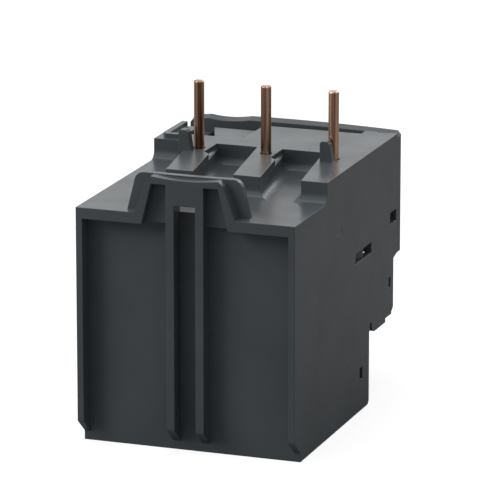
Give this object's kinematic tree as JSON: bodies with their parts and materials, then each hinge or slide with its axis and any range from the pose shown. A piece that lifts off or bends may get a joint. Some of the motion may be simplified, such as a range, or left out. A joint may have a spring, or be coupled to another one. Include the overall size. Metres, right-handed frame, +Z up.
{
  "type": "thermal overload relay",
  "caption": "Charcoal overload relay with copper contact pins and a rear hook on top, stepped terminal blocks in front, and a hinged clear window over its dial and buttons.",
  "frame": {"origin": "middle of the bounding box at its lowest level", "axes": "+X across the three poles, +Y from the operating front to the rear ribs, +Z up towards the pins' tips"},
  "size_m": [0.045, 0.07, 0.066],
  "materials": {
    "shell_plastic": "charcoal moulded, semi-gloss",
    "terminal_plastic": "charcoal moulded, fine grain",
    "fascia_plastic": "charcoal moulded, semi-gloss",
    "inner_plastic": "black moulded",
    "slide_plastic": "natural moulded",
    "lever_plastic": "natural moulded",
    "copper": "drawn copper, bright",
    "tinned_copper": "tinned copper",
    "contact_brass": "rolled brass",
    "bimetal": "rolled bimetal",
    "heater_alloy": "drawn resistance wire",
    "sleeve": "woven glass sleeve",
    "zinc_steel": "zinc plated",
    "pressed_steel": "pressed steel",
    "spring_steel": "spring wire",
    "dial_plastic": "pale grey moulded",
    "flag_plastic": "signal orange moulded",
    "stop_plastic": "red moulded",
    "plunger_plastic": "white moulded",
    "reset_plastic": "blue moulded",
    "test_plastic": "white moulded",
    "clear_window": "clear moulded"
  },
  "bodies": {
    "relay": {"rear_housing": "shell_plastic", "power_terminal_block": "terminal_plastic", "aux_terminal_block": "terminal_plastic", "front_fascia": "fascia_plastic", "mechanism_plate": "inner_plastic", "bimetal_carrier": "inner_plastic", "slide_rail_frame": "inner_plastic", "contact_pin_1": "copper", "insulating_sleeve_1": "sleeve", "heater_coil_1": "heater_alloy", "terminal_bar_1": "tinned_copper", "contact_pin_2": "copper", "insulating_sleeve_2": "sleeve", "heater_coil_2": "heater_alloy", "terminal_bar_2": "tinned_copper", "contact_pin_3": "copper", "insulating_sleeve_3": "sleeve", "heater_coil_3": "heater_alloy", "terminal_bar_3": "tinned_copper", "aux_contact_plate_1": "contact_brass", "aux_contact_plate_2": "contact_brass", "aux_contact_plate_3": "contact_brass", "aux_contact_plate_4": "contact_brass", "setting_pivot_pin": "pressed_steel", "window_hinge_pin": "pressed_steel", "carrier_spring": "spring_steel", "stop_spring": "spring_steel", "reset_spring": "spring_steel"},
    "main_slide": {"main_slide": "slide_plastic"},
    "differential_slide": {"differential_slide": "slide_plastic"},
    "trip_lever": {"trip_lever": "lever_plastic", "compensation_strip": "bimetal"},
    "setting_lever": {"setting_lever": "pressed_steel"},
    "setting_dial": {"setting_dial": "dial_plastic", "setting_cam": "lever_plastic"},
    "contact_carrier": {"contact_carrier": "slide_plastic", "contact_bridges": "contact_brass", "trip_flag": "flag_plastic"},
    "stop_button": {"stop_button": "stop_plastic"},
    "reset_plunger": {"reset_plunger": "plunger_plastic"},
    "reset_button": {"reset_button": "reset_plastic"},
    "test_slider": {"test_slider": "test_plastic"},
    "window": {"window_cover": "clear_window"},
    "bimetal_strip_1": {"bimetal_strip_1": "bimetal"},
    "bimetal_strip_2": {"bimetal_strip_2": "bimetal"},
    "bimetal_strip_3": {"bimetal_strip_3": "bimetal"},
    "power_clamp_1": {"power_clamp_1": "zinc_steel"},
    "power_screw_1": {"power_screw_1": "zinc_steel"},
    "power_clamp_2": {"power_clamp_2": "zinc_steel"},
    "power_screw_2": {"power_screw_2": "zinc_steel"},
    "power_clamp_3": {"power_clamp_3": "zinc_steel"},
    "power_screw_3": {"power_screw_3": "zinc_steel"},
    "aux_clamp_1": {"aux_clamp_1": "zinc_steel"},
    "aux_screw_1": {"aux_screw_1": "zinc_steel"},
    "aux_clamp_2": {"aux_clamp_2": "zinc_steel"},
    "aux_screw_2": {"aux_screw_2": "zinc_steel"},
    "aux_clamp_3": {"aux_clamp_3": "zinc_steel"},
    "aux_screw_3": {"aux_screw_3": "zinc_steel"},
    "aux_clamp_4": {"aux_clamp_4": "zinc_steel"},
    "aux_screw_4": {"aux_screw_4": "zinc_steel"}
  },
  "joints": [
    {"name": "trip_slide", "type": "slide", "parent": "relay", "child": "main_slide", "axis": [1, 0, 0], "range_m": [0, 0.0014], "stiffness_N_per_m": 200},
    {"name": "differential_travel", "type": "slide", "parent": "relay", "child": "differential_slide", "axis": [1, 0, 0], "range_m": [0, 0.0014]},
    {"name": "bimetal_bend_1", "type": "hinge", "parent": "relay", "child": "bimetal_strip_1", "pos_m": [0.0142, 0.013, 0.00575], "axis": [0, 1, 0], "range_deg": [0, 2.43]},
    {"name": "bimetal_bend_2", "type": "hinge", "parent": "relay", "child": "bimetal_strip_2", "pos_m": [0, 0.013, 0.00575], "axis": [0, 1, 0], "range_deg": [0, 2.43]},
    {"name": "bimetal_bend_3", "type": "hinge", "parent": "relay", "child": "bimetal_strip_3", "pos_m": [-0.0142, 0.013, 0.00575], "axis": [0, 1, 0], "range_deg": [0, 2.43]},
    {"name": "setting_lever_swing", "type": "hinge", "parent": "relay", "child": "setting_lever", "pos_m": [0.0176, -0.021, 0.046], "axis": [0, 1, 0], "range_deg": [-1.77, 0]},
    {"name": "dial_turn", "type": "hinge", "parent": "relay", "child": "setting_dial", "pos_m": [0.0125, -0.031, 0.0395], "axis": [0, 1, 0], "range_deg": [0, 240]},
    {"name": "trip_lever_swing", "type": "hinge", "parent": "setting_lever", "child": "trip_lever", "pos_m": [0.0176, -0.0121, 0.03], "axis": [0, 1, 0], "range_deg": [0, 9.12]},
    {"name": "carrier_lift", "type": "slide", "parent": "relay", "child": "contact_carrier", "axis": [0, 0, 1], "range_m": [0, 0.00159], "deforming": ["carrier_spring"]},
    {"name": "stop_press", "type": "slide", "parent": "relay", "child": "stop_button", "axis": [0, 1, 0], "range_m": [0, 0.0014], "stiffness_N_per_m": 200, "deforming": ["stop_spring"]},
    {"name": "reset_press", "type": "slide", "parent": "relay", "child": "reset_plunger", "axis": [0, 1, 0], "range_m": [0, 0.0014], "stiffness_N_per_m": 200, "deforming": ["reset_spring"]},
    {"name": "reset_mode_turn", "type": "hinge", "parent": "reset_plunger", "child": "reset_button", "pos_m": [-0.013, -0.031, 0.043], "axis": [0, 1, 0], "range_deg": [0, 90]},
    {"name": "test_slide", "type": "slide", "parent": "relay", "child": "test_slider", "axis": [1, 0, 0], "range_m": [0, 0.0025]},
    {"name": "window_hinge", "type": "hinge", "parent": "relay", "child": "window", "pos_m": [-0.0196, -0.0322, 0.0397], "axis": [0, 0, 1], "range_deg": [-100, 0]},
    {"name": "power_clamp_1_travel", "type": "slide", "parent": "relay", "child": "power_clamp_1", "axis": [0, 1, 0], "range_m": [0, 0.0042]},
    {"name": "power_screw_1_turn", "type": "hinge", "parent": "power_clamp_1", "child": "power_screw_1", "pos_m": [0.0142, -0.008, 0.0076], "axis": [0, 1, 0], "range_deg": [0, 2160]},
    {"name": "power_clamp_2_travel", "type": "slide", "parent": "relay", "child": "power_clamp_2", "axis": [0, 1, 0], "range_m": [0, 0.0042]},
    {"name": "power_screw_2_turn", "type": "hinge", "parent": "power_clamp_2", "child": "power_screw_2", "pos_m": [0, -0.008, 0.0076], "axis": [0, 1, 0], "range_deg": [0, 2160]},
    {"name": "power_clamp_3_travel", "type": "slide", "parent": "relay", "child": "power_clamp_3", "axis": [0, 1, 0], "range_m": [0, 0.0042]},
    {"name": "power_screw_3_turn", "type": "hinge", "parent": "power_clamp_3", "child": "power_screw_3", "pos_m": [-0.0142, -0.008, 0.0076], "axis": [0, 1, 0], "range_deg": [0, 2160]},
    {"name": "aux_clamp_1_travel", "type": "slide", "parent": "relay", "child": "aux_clamp_1", "axis": [0, 1, 0], "range_m": [0, 0.004]},
    {"name": "aux_screw_1_turn", "type": "hinge", "parent": "aux_clamp_1", "child": "aux_screw_1", "pos_m": [-0.0147, -0.021, 0.0213], "axis": [0, 1, 0], "range_deg": [0, 2880]},
    {"name": "aux_clamp_2_travel", "type": "slide", "parent": "relay", "child": "aux_clamp_2", "axis": [0, 1, 0], "range_m": [0, 0.004]},
    {"name": "aux_screw_2_turn", "type": "hinge", "parent": "aux_clamp_2", "child": "aux_screw_2", "pos_m": [-0.0049, -0.021, 0.0213], "axis": [0, 1, 0], "range_deg": [0, 2880]},
    {"name": "aux_clamp_3_travel", "type": "slide", "parent": "relay", "child": "aux_clamp_3", "axis": [0, 1, 0], "range_m": [0, 0.004]},
    {"name": "aux_screw_3_turn", "type": "hinge", "parent": "aux_clamp_3", "child": "aux_screw_3", "pos_m": [0.0049, -0.021, 0.0213], "axis": [0, 1, 0], "range_deg": [0, 2880]},
    {"name": "aux_clamp_4_travel", "type": "slide", "parent": "relay", "child": "aux_clamp_4", "axis": [0, 1, 0], "range_m": [0, 0.004]},
    {"name": "aux_screw_4_turn", "type": "hinge", "parent": "aux_clamp_4", "child": "aux_screw_4", "pos_m": [0.0147, -0.021, 0.0213], "axis": [0, 1, 0], "range_deg": [0, 2880]}
  ],
  "couplings": [
    {"joint": "differential_travel", "follows": "trip_slide", "ratio": 1},
    {"joint": "bimetal_bend_1", "follows": "trip_slide", "rad_per_m": 30.257},
    {"joint": "bimetal_bend_2", "follows": "trip_slide", "rad_per_m": 30.257},
    {"joint": "bimetal_bend_3", "follows": "trip_slide", "rad_per_m": 30.257},
    {"joint": "setting_lever_swing", "follows": "dial_turn", "ratio": -0.007346},
    {"joint": "trip_lever_swing", "follows": "trip_slide", "rad_per_m": 113.64},
    {"joint": "carrier_lift", "follows": "trip_slide", "ratio": 1.1364},
    {"joint": "power_screw_1_turn", "follows": "power_clamp_1_travel", "rad_per_m": 8976},
    {"joint": "power_screw_2_turn", "follows": "power_clamp_2_travel", "rad_per_m": 8976},
    {"joint": "power_screw_3_turn", "follows": "power_clamp_3_travel", "rad_per_m": 8976},
    {"joint": "aux_screw_1_turn", "follows": "aux_clamp_1_travel", "rad_per_m": 12566},
    {"joint": "aux_screw_2_turn", "follows": "aux_clamp_2_travel", "rad_per_m": 12566},
    {"joint": "aux_screw_3_turn", "follows": "aux_clamp_3_travel", "rad_per_m": 12566},
    {"joint": "aux_screw_4_turn", "follows": "aux_clamp_4_travel", "rad_per_m": 12566}
  ]
}
